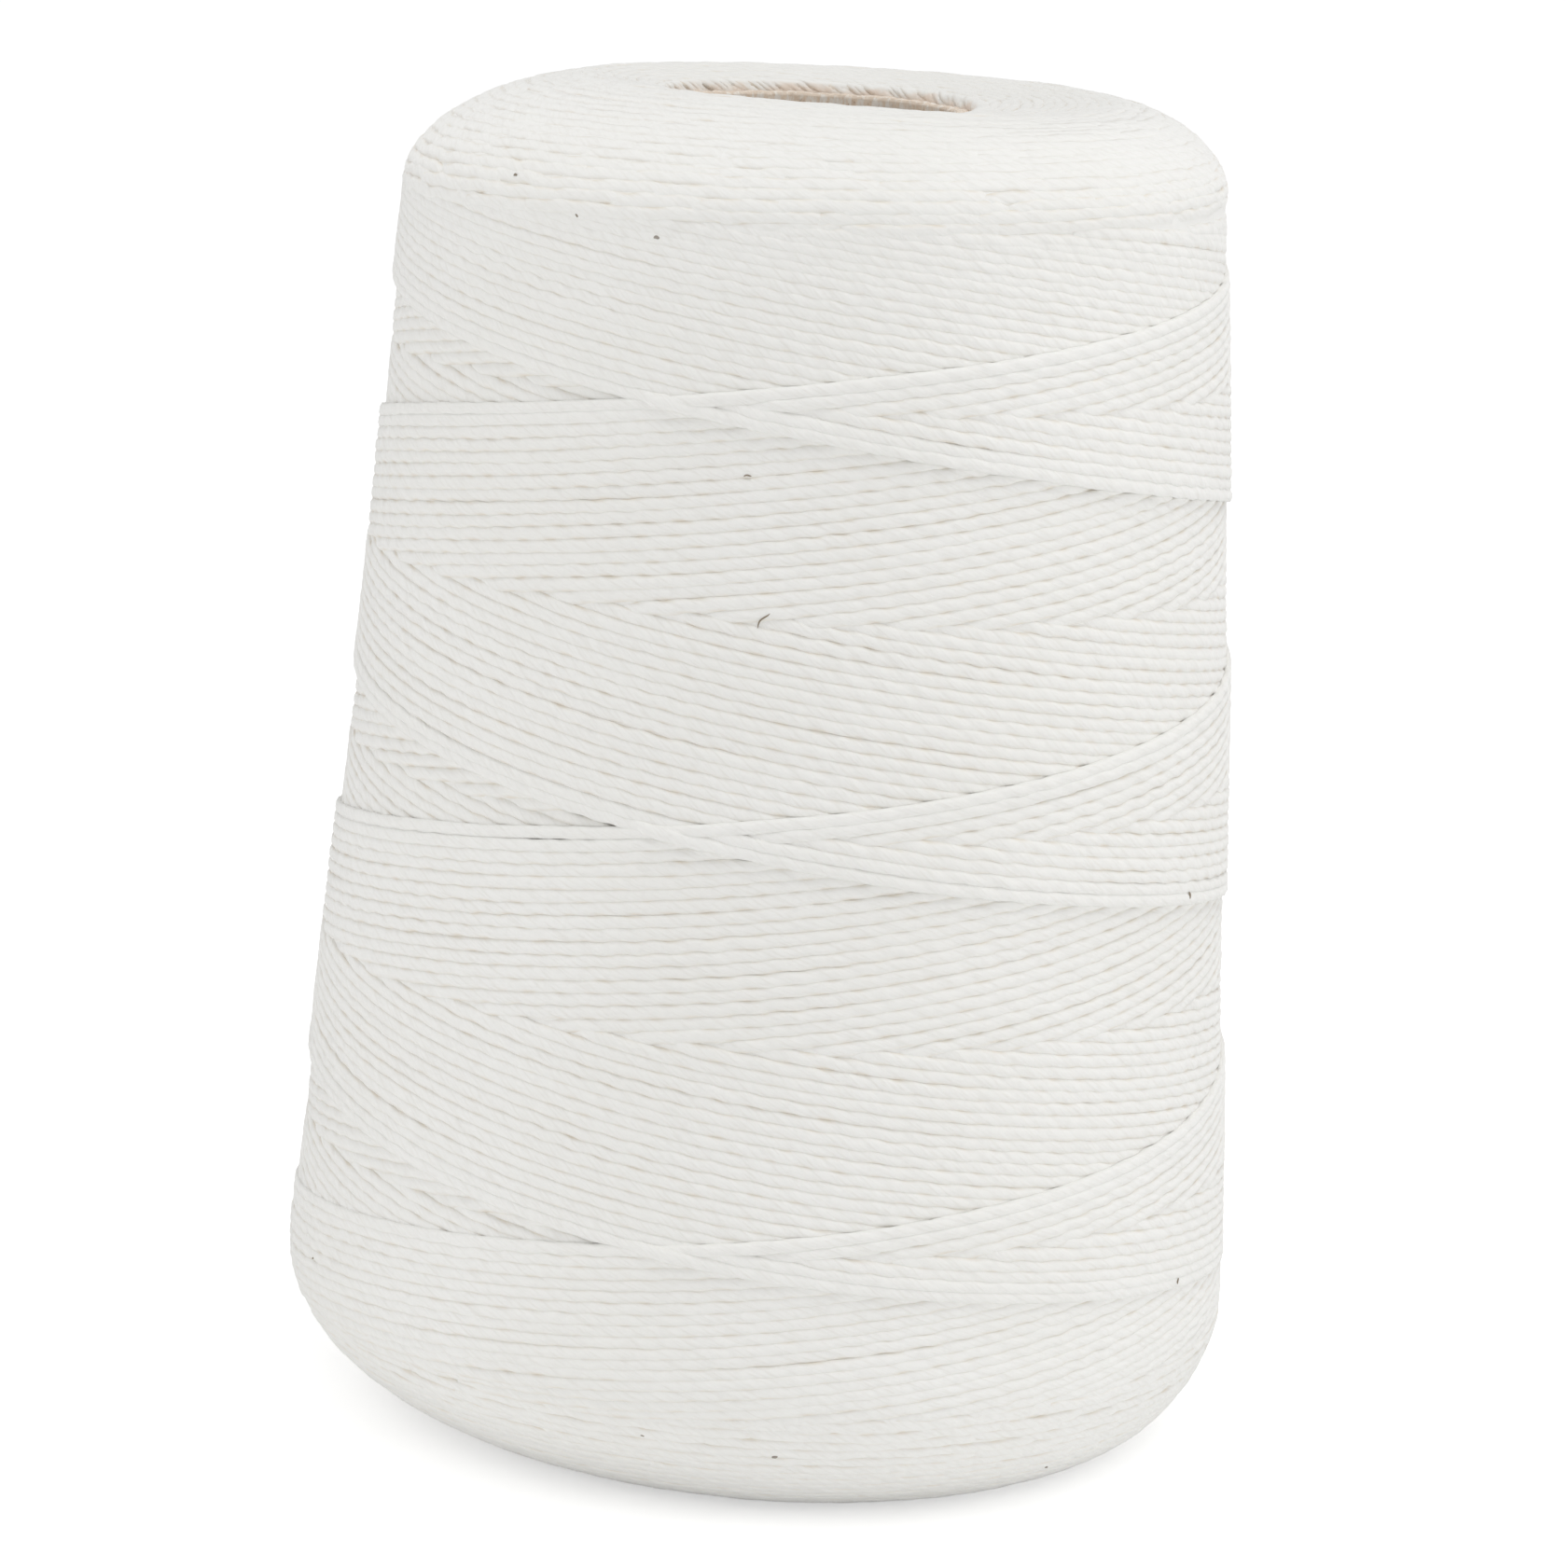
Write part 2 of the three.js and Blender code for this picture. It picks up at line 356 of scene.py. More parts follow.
def outward_from(azimuth):
    """Square to the tapered layers: almost level, tipped up by their taper."""
    tip = -SIDE_SLOPE
    level = 1 / math.hypot(1, tip)
    return place(azimuth, level, np.full_like(azimuth, tip * level))


# ---------------------------------------------------------------- materials

COTTON_TONES = (0.868, 0.862, 0.832), (0.884, 0.879, 0.854)
COTTON_SHADE, FIBRE_TONE = (0.845, 0.838, 0.812), (0.825, 0.814, 0.778)
# painted shade on the flanks of the strands, where they meet the next strand; paler on the open
# last cycle
FLANK_SHADE_TONE, OPEN_FLANK_SHADE_TONE = (0.785, 0.730, 0.640), (0.860, 0.850, 0.815)
# painted bounce light: the tan of light reflected off the paper core onto the twine at the rim
PAPER_BOUNCE_TONE = (0.80, 0.70, 0.61)
KRAFT_TONES = (0.74, 0.605, 0.475), (0.84, 0.720, 0.590)
KRAFT_FLECK, KRAFT_FIBRE = (0.44, 0.325, 0.230), (0.84, 0.73, 0.60)
EDGE_TONE, PLY_TONE = (0.78, 0.685, 0.590), (0.60, 0.490, 0.390)
LINT_TONE = (0.865, 0.825, 0.765)
HUSK_TONES = (0.24, 0.19, 0.13), (0.33, 0.30, 0.26)


def new_material(name):
    material = bpy.data.materials.new(name)
    material.use_nodes = True
    tree = material.node_tree
    tree.nodes.clear()
    out = tree.nodes.new("ShaderNodeOutputMaterial")
    shader = tree.nodes.new("ShaderNodeBsdfPrincipled")
    tree.links.new(shader.outputs[0], out.inputs[0])
    return material, tree, shader


def math_node(tree, operation, first, second=None, third=None):
    made = tree.nodes.new("ShaderNodeMath")
    made.operation = operation
    for slot, value in enumerate((first, second, third)):
        if value is None:
            continue
        if isinstance(value, (int, float)):
            made.inputs[slot].default_value = value
        else:
            tree.links.new(value, made.inputs[slot])
    return made.outputs[0]


def mix_colour(tree, share, first, second):
    made = tree.nodes.new("ShaderNodeMix")
    made.data_type = "RGBA"
    for slot, value in ((0, share), (6, first), (7, second)):
        if isinstance(value, (int, float)):
            made.inputs[slot].default_value = value
        elif isinstance(value, tuple):
            made.inputs[slot].default_value = (*value, 1)
        else:
            tree.links.new(value, made.inputs[slot])
    return made.outputs[2]


def noise(tree, vector, scale, detail=2.0, roughness=0.5):
    made = tree.nodes.new("ShaderNodeTexNoise")
    tree.links.new(vector, made.inputs["Vector"])
    made.inputs["Scale"].default_value = scale
    made.inputs["Detail"].default_value = detail
    made.inputs["Roughness"].default_value = roughness
    return made.outputs["Fac"]


def drawn_out(tree, across, times_across, along, times_along):
    """Coordinates for a noise that is drawn out along the twine."""
    joined = tree.nodes.new("ShaderNodeCombineXYZ")
    tree.links.new(math_node(tree, "MULTIPLY", across, times_across), joined.inputs[0])
    tree.links.new(math_node(tree, "MULTIPLY", along, times_along), joined.inputs[1])
    return joined.outputs[0]


def stretched(tree, vector, scale, lean=0.0):
    """Coordinates for a noise that is drawn out along the roll, and may lean."""
    made = tree.nodes.new("ShaderNodeMapping")
    tree.links.new(vector, made.inputs["Vector"])
    made.inputs["Rotation"].default_value = (0, lean, 0)
    made.inputs["Scale"].default_value = scale
    return made.outputs[0]


def ramp(tree, value, low, high):
    made = tree.nodes.new("ShaderNodeMapRange")
    made.interpolation_type = "SMOOTHSTEP"
    tree.links.new(value, made.inputs["Value"])
    made.inputs["From Min"].default_value = low
    made.inputs["From Max"].default_value = high
    return made.outputs["Result"]


def bump(tree, height, distance, strength, normal=None):
    made = tree.nodes.new("ShaderNodeBump")
    tree.links.new(height, made.inputs["Height"])
    made.inputs["Distance"].default_value = distance
    made.inputs["Strength"].default_value = strength
    if normal is not None:
        tree.links.new(normal, made.inputs["Normal"])
    return made.outputs["Normal"]


def from_axis(tree, where):
    """Distance from the roll's axis, and height."""
    apart = tree.nodes.new("ShaderNodeSeparateXYZ")
    tree.links.new(where, apart.inputs[0])
    across, away, height = apart.outputs
    squared = math_node(tree, "MULTIPLY", away, away)
    squared = math_node(tree, "MULTIPLY_ADD", across, across, squared)
    return math_node(tree, "SQRT", squared), height


def paper_bounce_tint(tree, where, tone):
    """Painted bounce light: near the rim of the hole, and more so lower down, the twine takes the
    tan of light reflected off the paper core.
    """
    radius, height = from_axis(tree, where)
    near = ramp(tree, radius, (RIM_R + 0.95) * MM, (RIM_R + 0.10) * MM)
    low = ramp(tree, height, (RIM_HEIGHT - 0.2) * MM, (RIM_HEIGHT - 1.9) * MM)
    patches = noise(tree, where, 260.0, 3.0, 0.62)
    bounce_share = ramp(tree, math_node(tree, "MULTIPLY_ADD", low, 0.22, patches), 0.50, 0.80)
    bounce_share = math_node(tree, "MULTIPLY", near, bounce_share)
    return mix_colour(tree, bounce_share, tone, PAPER_BOUNCE_TONE)


def ply_look(tree, tone, flank_shade_tone):
    """Colour and normal of twisted twine: fibres along its two plies, and flanks in painted shade,
    warmer and darker.
    """
    coordinates = tree.nodes.new("ShaderNodeUVMap")
    coordinates.uv_map = "ply"
    apart = tree.nodes.new("ShaderNodeSeparateXYZ")
    tree.links.new(coordinates.outputs[0], apart.inputs[0])
    along, around = apart.outputs[0], apart.outputs[1]
    spiral = math_node(tree, "SUBTRACT", around, along)
    wave = math_node(tree, "COSINE", math_node(tree, "MULTIPLY", spiral, 2 * TURN))
    ridge = math_node(tree, "ABSOLUTE", math_node(tree, "MULTIPLY_ADD", wave, 0.5, 0.5))
    ridge = math_node(tree, "POWER", ridge, 0.5)
    # fibres follow the plies, so the noise is drawn out along the spiral
    fibres = noise(tree, drawn_out(tree, spiral, 12.0, along, 2.6), 1.0, 3.0, 0.6)
    tone = mix_colour(tree, ramp(tree, fibres, 0.45, 0.75), tone, FIBRE_TONE)
    # painted shade: the flanks, which face the next strand, are warmer and darker, most of all
    # between two plies
    flank = math_node(tree, "SINE", math_node(tree, "MULTIPLY", around, TURN))
    waist = math_node(tree, "MULTIPLY_ADD", wave, -0.5, 0.5)
    shade = math_node(tree, "MULTIPLY_ADD", ramp(tree, waist, 0.35, 0.95), 0.60, 0.45)
    patchy = noise(tree, drawn_out(tree, spiral, 2.0, along, 1.7), 1.0, 2.0)
    patchy = math_node(tree, "MULTIPLY_ADD", ramp(tree, patchy, 0.36, 0.62), 0.7, 0.3)
    shade = math_node(tree, "MULTIPLY", shade, patchy)
    # how much painted shade each spot of a flank gets
    painted_flank_shade = math_node(tree, "MULTIPLY", ramp(tree, flank, 0.97, 0.35), shade)
    tone = mix_colour(tree, painted_flank_shade, tone, flank_shade_tone)
    return tone, bump(tree, fibres, 0.00016, 0.60, bump(tree, ridge, 0.00012, 0.45))


def twine_material(name, ply=True, flank_shade_tone=FLANK_SHADE_TONE, paper_bounce=False):
    """Soft white cotton, in strands of two plies or as the mass beneath them."""
    material, tree, shader = new_material(name)
    where = tree.nodes.new("ShaderNodeTexCoord").outputs["Object"]
    broad = noise(tree, where, 38.0, 2.0)
    fine = noise(tree, where, 900.0, 3.0, 0.6)
    tone = mix_colour(tree, ramp(tree, broad, 0.3, 0.7), *COTTON_TONES)
    tone = mix_colour(tree, ramp(tree, fine, 0.45, 0.85), tone, COTTON_SHADE)
    if ply:
        tone, normal = ply_look(tree, tone, flank_shade_tone)
    else:
        normal = bump(tree, fine, 0.0002, 0.3)
    # painted bounce light off the paper core, near the rim of the hole
    if paper_bounce:
        tone = paper_bounce_tint(tree, where, tone)
    tree.links.new(tone, shader.inputs["Base Color"])
    tree.links.new(normal, shader.inputs["Normal"])
    shader.inputs["Roughness"].default_value = 0.95
    shader.inputs["Specular IOR Level"].default_value = 0.15
    shader.inputs["Sheen Weight"].default_value = 0.35
    shader.inputs["Sheen Roughness"].default_value = 0.5
    return material


def cut_edge(tree, tone, radius, on_edge):
    """The cut upper edge is pale and shows the plies of the paper."""
    plies = math_node(tree, "COSINE", math_node(tree, "MULTIPLY", radius, TURN / (PAPER_PLY * MM)))
    plies = math_node(tree, "MULTIPLY", ramp(tree, plies, -0.4, 0.9), on_edge)
    tone = mix_colour(tree, math_node(tree, "MULTIPLY", on_edge, 0.6), tone, EDGE_TONE)
    return mix_colour(tree, math_node(tree, "MULTIPLY", plies, 0.55), tone, PLY_TONE)


def lint(tree, where, tone, height, on_edge):
    """Lint from the twine clings to the wall, most of all below its upper edge."""
    below_edge = ramp(tree, height, (CORE_HIGH - 4.0) * MM, (CORE_HIGH - 1.0) * MM)
    tufts = noise(tree, stretched(tree, where, (1500, 1500, 420), 0.6), 1.0, 3.0, 0.65)
    cover = math_node(tree, "MULTIPLY_ADD", below_edge, 0.10, tufts)
    cover = math_node(tree, "MULTIPLY_ADD", on_edge, -0.08, cover)
    return mix_colour(tree, ramp(tree, cover, 0.50, 0.70), tone, LINT_TONE)


def kraft_material():
    """Grey-brown paper: broad blotches, fibres lying along it, a rough cut edge."""
    material, tree, shader = new_material("kraft_paper")
    where = tree.nodes.new("ShaderNodeTexCoord").outputs["Object"]
    blotch = noise(tree, where, 120.0, 3.0, 0.6)
    flecks = noise(tree, where, 1400.0, 3.0, 0.65)
    fibres = noise(tree, stretched(tree, where, (900, 900, 140)), 1.0, 3.0, 0.6)
    tone = mix_colour(tree, ramp(tree, blotch, 0.3, 0.7), *KRAFT_TONES)
    tone = mix_colour(tree, ramp(tree, flecks, 0.54, 0.72), tone, KRAFT_FLECK)
    tone = mix_colour(tree, ramp(tree, fibres, 0.55, 0.8), tone, KRAFT_FIBRE)
    radius, height = from_axis(tree, where)
    on_edge = ramp(tree, height, (CORE_HIGH - 0.6) * MM, (CORE_HIGH - 0.25) * MM)
    tone = cut_edge(tree, tone, radius, on_edge)
    tone = lint(tree, where, tone, height, on_edge)
    tree.links.new(tone, shader.inputs["Base Color"])
    first = bump(tree, fibres, 0.0002, 0.5)
    tree.links.new(bump(tree, flecks, 0.0002, 0.4, first), shader.inputs["Normal"])
    shader.inputs["Roughness"].default_value = 0.9
    shader.inputs["Specular IOR Level"].default_value = 0.2
    return material


def husk_material():
    """Specks of seed husk caught in the cotton: brown to grey."""
    material, tree, shader = new_material("seed_husk")
    where = tree.nodes.new("ShaderNodeTexCoord").outputs["Object"]
    tone = mix_colour(tree, ramp(tree, noise(tree, where, 60.0, 2.0), 0.4, 0.6), *HUSK_TONES)
    tree.links.new(tone, shader.inputs["Base Color"])
    tree.links.new(bump(tree, noise(tree, where, 4000.0), 0.0001, 0.4), shader.inputs["Normal"])
    shader.inputs["Roughness"].default_value = 0.8
    return material


COTTON = twine_material("cotton_twine")
# the open last cycle gets paler painted shade on its flanks
COTTON_LAST = twine_material("cotton_last_turn", flank_shade_tone=OPEN_FLANK_SHADE_TONE)
# the twine over the rim and the mass beneath it get painted bounce light off the paper core
COTTON_RIM = twine_material("cotton_rim", paper_bounce=True)
COTTON_BODY = twine_material("cotton_under", ply=False, paper_bounce=True)
KRAFT = kraft_material()
HUSK = husk_material()


def keep(piece, replaced=None):
    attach(piece, "root")
    if replaced:
        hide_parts(replaced)


# ---------------------------------------------------------------- the last cover of twine

def even_cuts(strand):
    """Where to part a list of strands into pieces of like size, between two strands."""
    parts = math.ceil(len(strand) * 2 * len(SECTION) / PIECE_TRIANGLES)
    even = np.linspace(0, len(strand) - 1, parts + 1).astype(int)
    cuts = np.searchsorted(strand, strand[even])
    cuts[-1] = len(strand)
    return cuts


def make_cover():
    """Only the stretches that show, each reaching a little way under its neighbours."""
    strand = last_cover()
    count = len(strand["z"])
    visible = (strand["under"] < COVERED).astype(float)
    index = np.nonzero(np.convolve(visible, np.ones(2 * REACH_UNDER + 1), "same") > 0)[0]
    stretch = np.cumsum(np.diff(index, prepend=index[0]) > 1)
    azimuth, z, radius, rising, cycle = (
        strand[key][index] for key in ("azimuth", "z", "radius", "rising", "cycle")
    )
    # the last cycle leans a little on the strand beside it
    z = z + np.where(cycle == 0, OPEN_LEAN * (1 - 2 * rising), 0)
    points = place(azimuth, radius, z)
    length = index * SAMPLE
    fullness = 1 + wander(count, 16.0, 0.03) + wander(count, 6.0, 0.025)
    depth = np.clip(PLY_DEPTH + wander(count, 11.0, 0.04), 0.02, 0.18)
    slack = wander(count, 60.0, 0.10) + wander(count, 14.0, 0.07)
    fullness, depth, slack = fullness[index], depth[index], slack[index]
    # the last cycle, whose outer side lies open, is a piece of its own
    final = np.searchsorted(stretch, stretch[np.searchsorted(-cycle, 0)])
    cuts = list(even_cuts(stretch[:final])) + [len(stretch)]
    spread = SECTION[0, 1] - OPEN_FOOT
    feet = OPEN_FOOT + spread * (1 - rising[final:]), OPEN_FOOT + spread * rising[final:]
    for part in range(len(cuts) - 1):
        cut = slice(cuts[part], cuts[part + 1])
        last = part == len(cuts) - 2
        size = cuts[part + 1] - cuts[part]
        piece = sweep(
            "twine_last_cycle" if last else f"twine_cover_{part + 1}",
            points[cut], outward_from(azimuth[cut]), stretch[cut],
            (OPEN_HALF_WIDTH if last else HALF_WIDTH) * fullness[cut], np.full(size, HALF_THICK),
            length[cut] / LAY + slack[cut], COTTON_LAST if last else COTTON,
            ply_depth=depth[cut], feet=feet if last else None,
        )
        keep(piece, "wound_twine")


# ---------------------------------------------------------------- loops on both ends

# a bow's reach to each side in spacings, then how many mm its ends go on under their neighbours
BOW_BEFORE, BOW_AFTER, BOW_UNDER = 0.62, 0.42, 2.6
BOW_THICK, BOW_RINGS = 0.40, 13
LOOP_THICK, LOOP_TUCK, LOOP_STEP = 0.36, 0.6, 2.1   # the tuck is how far they start under the bows
ARM_SINK, ARM_DROP, ARM_LONGEST = 1.1, 5.0, 34.0    # depth and fall that hide a loop's arms
RIM_STRANDS, RIM_RINGS, RIM_THICK, RIM_HALF_WIDTH = 84, 18, 0.30, 0.74


def end_shape(azimuth, top):
    """Rise and reach of a rounded end."""
    right = np.sin(azimuth)
    if top:
        return HIGH_RISE * (1 - RISE_SWING * right), HIGH_REACH * (1 - HIGH_SWING * right)
    return LOW_RISE + 0 * right, LOW_REACH * (1 - LOW_SWING * right)


def end_height(tilt, rise, top):
    if top:
        return SHOULDER_TOP - rise * (1 - np.sin(tilt))
    return SIDE_START - rise * np.sin(tilt)


def end_facing(tilt, rise, reach, top):
    """Outward direction of a rounded end, as its level and its upright part."""
    out, up = np.cos(tilt) / reach, np.sin(tilt) / rise
    size = np.hypot(out, up)
    return out / size, (up if top else -up) / size


def tilt_at(radius, rise, reach, top):
    """The tilt at which a rounded end has drawn in to a radius, by repeated steps."""
    tilt = np.full_like(radius, math.pi / 4)
    for _ in range(12):
        side = side_radius(end_height(tilt, rise, top))
        tilt = np.arccos(np.clip(1 - (side - radius) / reach, 0, 1))
    return tilt


def shoulder(tilt, azimuth, top):
    """Radius, height and outward direction on a rounded end, from its side inwards."""
    rise, reach = end_shape(azimuth, top)
    z = end_height(tilt, rise, top)
    radius = side_radius(z) - reach * (1 - np.cos(tilt))
    out, up = end_facing(tilt, rise, reach, top)
    return radius, z - crown_dip(radius, azimuth) if top else z, out, up


def top_edge(radius, azimuth):
    """Height of the form at a radius of its top end, and its outward direction there."""
    rise, reach = end_shape(azimuth, True)
    tilt = tilt_at(radius, rise, reach, True)
    z = end_height(tilt, rise, True)
    out = end_facing(tilt, rise, reach, True)[0]
    # inside the brow the crown falls evenly to the rim, and rounds over into the bore
    brow = wound_radius(HEIGHT, azimuth)
    share = (brow - radius) / (brow - RIM_R - RIM_ROUND)
    inside = smoothstep(share * 6 + 0.5)
    z = np.where(share > 0, HEIGHT - RIM_SAG * share, z)
    round_off = np.clip((RIM_R + RIM_ROUND + 0.3 - radius) / (RIM_ROUND + 0.3), 0, 1)
    z = z - 0.9 * (1 - np.sqrt(1 - 0.98 * round_off**2))
    tip = -RIM_SAG / (brow - RIM_R - RIM_ROUND) - 0.8 * round_off
    out = out * (1 - inside) + tip / np.hypot(1, tip) * inside
    return z - crown_dip(radius, azimuth), out, np.sqrt(1 - out**2)


def base_edge(radius, azimuth):
    """The same for the underside: a rounded edge, then the flat that it stands on."""
    rise, reach = end_shape(azimuth, False)
    tilt = tilt_at(radius, rise, reach, False)
    out, up = end_facing(tilt, rise, reach, False)
    return np.maximum(end_height(tilt, rise, False), 0), out, up


def loops_in_sight(top, outer_tilt, inner, first_azimuth):
    """Radius and azimuth at which older passes turned back, the youngest first."""
    gain = 2 * LAYER / CYCLES
    widest = shoulder(outer_tilt, np.linspace(0, TURN, 73), top)[0].max() + LOOP_TUCK
    age = np.arange(int((widest - inner) / gain))
    radius = widest - gain * (age + 0.5)
    azimuth = first_azimuth + TURN * age / CYCLES
    seen = radius < shoulder(outer_tilt, azimuth, top)[0] + LOOP_TUCK
    return radius[seen], azimuth[seen]


def arm_length(slope, rounding, up):
    """How far a loop runs to each side before it lies under the others."""
    drop = np.minimum(ARM_SINK / np.maximum(np.abs(up), 0.12), ARM_DROP)
    arm = np.sqrt((rounding + drop / slope) ** 2 - rounding**2)
    return np.minimum(arm, ARM_LONGEST)


def make_end(name, top, outer_tilt, inner, end_pitch, first_azimuth):
    """Older passes, each seen only where it turned back at the end of the roll."""
    downward = 1 if top else -1
    apex_radius, apex = loops_in_sight(top, outer_tilt, inner, first_azimuth)
    count = len(apex)
    apex_radius = np.maximum(apex_radius + rng.normal(0, 0.10, count), inner + 0.1)
    apex = apex + rng.normal(0, 0.03, count)
    z, out, up = (top_edge if top else base_edge)(apex_radius, apex)
    sunk = LOOP_THICK + np.abs(rng.normal(0, 0.03, count))
    slope = end_pitch / (TURN * apex_radius)
    rounding = 4.5 + 0.08 * apex_radius
    arm = arm_length(slope, rounding, up)
    rings = np.maximum(np.ceil(2 * arm / LOOP_STEP).astype(int), 8)
    rows = []
    facing = []
    for i in range(count):
        along = np.linspace(-arm[i], arm[i], rings[i])
        fall = slope[i] * (np.sqrt(along**2 + rounding[i] ** 2) - rounding[i])
        lean = rng.normal(0, 0.008) * along
        azimuth = apex[i] + along / apex_radius[i]
        height = z[i] - up[i] * sunk[i] - downward * fall + lean
        radius = apex_radius[i] - out[i] * sunk[i] - SIDE_SLOPE * downward * fall
        radius = radius + 0.10 * np.sin(along / 9 + i)
        rows.append((azimuth, radius, height, along + 40.0 * i, np.full(len(along), i)))
        facing.append(place(azimuth, out[i], np.full(len(along), up[i])))
    azimuth, radius, height, length, strand = (np.concatenate(c) for c in zip(*rows))
    facing = np.concatenate(facing)
    fullness = 1 + rng.normal(0, 0.04, count)[strand]
    cuts = even_cuts(strand)
    for part in range(len(cuts) - 1):
        cut = slice(cuts[part], cuts[part + 1])
        piece = sweep(
            f"{name}_{part + 1}", place(azimuth, radius, height)[cut], facing[cut], strand[cut],
            HALF_WIDTH * fullness[cut], np.full(len(azimuth[cut]), LOOP_THICK),
            length[cut] / LAY, COTTON,
        )
        keep(piece, "wound_twine")


def make_shoulder(name, top, first, last):
    """Rows of short bows, where passes turned back: each goes under the next one's end."""
    tilts = np.radians(np.linspace(first, last, 120))
    radius, z = shoulder(tilts, np.zeros(120), top)[:2]
    gone = np.concatenate([[0], np.cumsum(np.hypot(np.diff(radius), np.diff(z)))])
    count = int(gone[-1] / BOW_SPACING * BOWS)
    number = np.arange(count)
    start = (number + 0.5) * BOW_SPACING / BOWS
    apex = TURN * number / BOWS + rng.normal(0, 0.02, count)
    girth = np.interp(start, gone, radius)[:, None]
    apart = girth * TURN / BOWS
    share = np.linspace(0, 1, BOW_RINGS)[None]
    before, after = BOW_BEFORE * apart, BOW_AFTER * apart
    along = -(before + BOW_UNDER) * (1 - share) + (after + BOW_UNDER) * share
    climb = 0.13 * (np.hypot(along, 6.0) - 6.0)
    went = start[:, None] + rng.normal(0, 0.14, (count, 1)) - climb
    tilt = np.interp(went, gone, tilts)
    azimuth = apex[:, None] + along / girth
    radius, z, out, up = shoulder(tilt, azimuth, top)
    ends = smoothstep((-along - before) / BOW_UNDER) + smoothstep((along - after) / BOW_UNDER)
    lift = 0.18 * (1 - smoothstep(went / 10)) + rng.normal(0, 0.04, (count, 1))
    flat = smoothstep(went / gone[-1]) * (0.10 if top else 0.04)
    sunk = BOW_THICK - flat + 0.5 * ends - lift
    radius, z = radius - out * sunk, z - up * sunk
    strand = np.repeat(number, BOW_RINGS)
    twist = (along / LAY + rng.uniform(0, 1, (count, 1))).ravel()
    full = (HALF_WIDTH * (1 + rng.normal(0, 0.04, (count, 1)) + 1.6 * flat)).ravel()
    azimuth, radius, z, out, up, flat = (c.ravel() for c in (azimuth, radius, z, out, up, flat))
    points, facing = place(azimuth, radius, z), place(azimuth, out, up)
    cuts = even_cuts(strand)
    for part in range(len(cuts) - 1):
        cut = slice(cuts[part], cuts[part + 1])
        piece = sweep(
            f"{name}_{part + 1}", points[cut], facing[cut], strand[cut], full[cut],
            (BOW_THICK - flat)[cut], twist[cut], COTTON,
        )
        keep(piece, "wound_twine")


def make_rim():
    """The first turns on the core, which come up slantwise and over the rim of the hole."""
    run = np.linspace(0, 1, RIM_RINGS)
    bend = smoothstep((run - 0.25) / 0.5) * math.pi / 2   # 0 on the wall, a right angle on top
    inward, up = np.cos(bend), np.sin(bend)
    ducked = 0.6 * smoothstep((run - 0.75) / 0.25)   # under the turns that lie on the crown
    rows = []
    for i in range(RIM_STRANDS):
        azimuth = TURN * i / RIM_STRANDS + rng.normal(0, 0.01) + rng.uniform(0.41, 0.46) * run
        wall = RIM_R + 0.05 * rng.normal()
        hang = rng.uniform(1.2, 2.4)
        z = RIM_HEIGHT - RIM_ROUND - hang * (1 - run) ** 2 + (RIM_ROUND - 0.02) * up
        radius = wall + RIM_ROUND * (1 - inward) + 2.2 * smoothstep((run - 0.6) / 0.5)
        radius = radius + RIM_THICK * inward
        z = z - RIM_THICK * up - crown_dip(RIM_R, azimuth) - ducked
        rows.append((azimuth, radius, z, -inward, up, run * 6 + i, np.full(RIM_RINGS, i)))
    azimuth, radius, z, out, up, length, strand = (np.concatenate(c) for c in zip(*rows))
    piece = sweep(
        "twine_rim", place(azimuth, radius, z), place(azimuth, out, up), strand,
        np.full(len(z), RIM_HALF_WIDTH), np.full(len(z), RIM_THICK), length / LAY, COTTON_RIM,
    )
    keep(piece, "wound_twine")


# ---------------------------------------------------------------- the mass of older twine

BODY_COLUMNS, BODY_FOOT, BORE_GAP = 240, 0.6, 0.05
BODY_STEPS = 15, 150    # heights between which the body follows the layers


def body_row(z, turned):
    """Radius and height of the body round the roll, at a height of the smooth form."""
    radius = wound_radius(z, turned)
    age_up, age_down = layer_ages(turned, np.full(len(turned), z))
    rise_up = smoothstep(age_up / 1.6) * (1 - age_up / CYCLES)
    rise_down = smoothstep(age_down / 1.6) * (1 - age_down / CYCLES)
    inside = BODY_STEPS[0] < z < BODY_STEPS[1]
    relief = layer_height(z) * (rise_up + rise_down - 1) * inside
    slant_low = np.clip((SIDE_START - z) / LOW_RISE, 0, 0.98)
    slant_high = np.clip((z - HIGH_START) / HIGH_RISE, 0, 1)
    level = np.sqrt(1 - max(slant_low, slant_high) ** 2 * 0.9)
    # shallower where bows and loops take over from the cover
    depth = BODY_DEPTH - 0.15 * smoothstep((z - 148) / 6) - 0.15 * smoothstep((18 - z) / 6)
    depth = depth + 0.15 * smoothstep((3 - z) / 3)
    height = z + depth * slant_low - depth * slant_high - crown_dip(radius, turned)
    return radius + relief - depth * level, height


def rim_rows(turned):
    """Rows that follow the rounding of the rim and go down into the bore."""
    rows = []
    for bend in np.radians([70, 45, 20, 0]):
        radius = RIM_R + RIM_ROUND - (RIM_ROUND - RIM_DEPTH) * math.cos(bend)
        height = RIM_HEIGHT - RIM_ROUND + (RIM_ROUND - RIM_DEPTH) * math.sin(bend)
        rows.append((radius + 0 * turned, height - crown_dip(RIM_R, turned)))
    rows.append((RIM_R + RIM_DEPTH + 0 * turned, RIM_HEIGHT - 3.2 + 0 * turned))
    for z in np.linspace(RIM_HEIGHT - 5, 4, 12):
        rows.append((bore_radius(z) + BORE_GAP + 0 * turned, z + 0 * turned))
    return rows


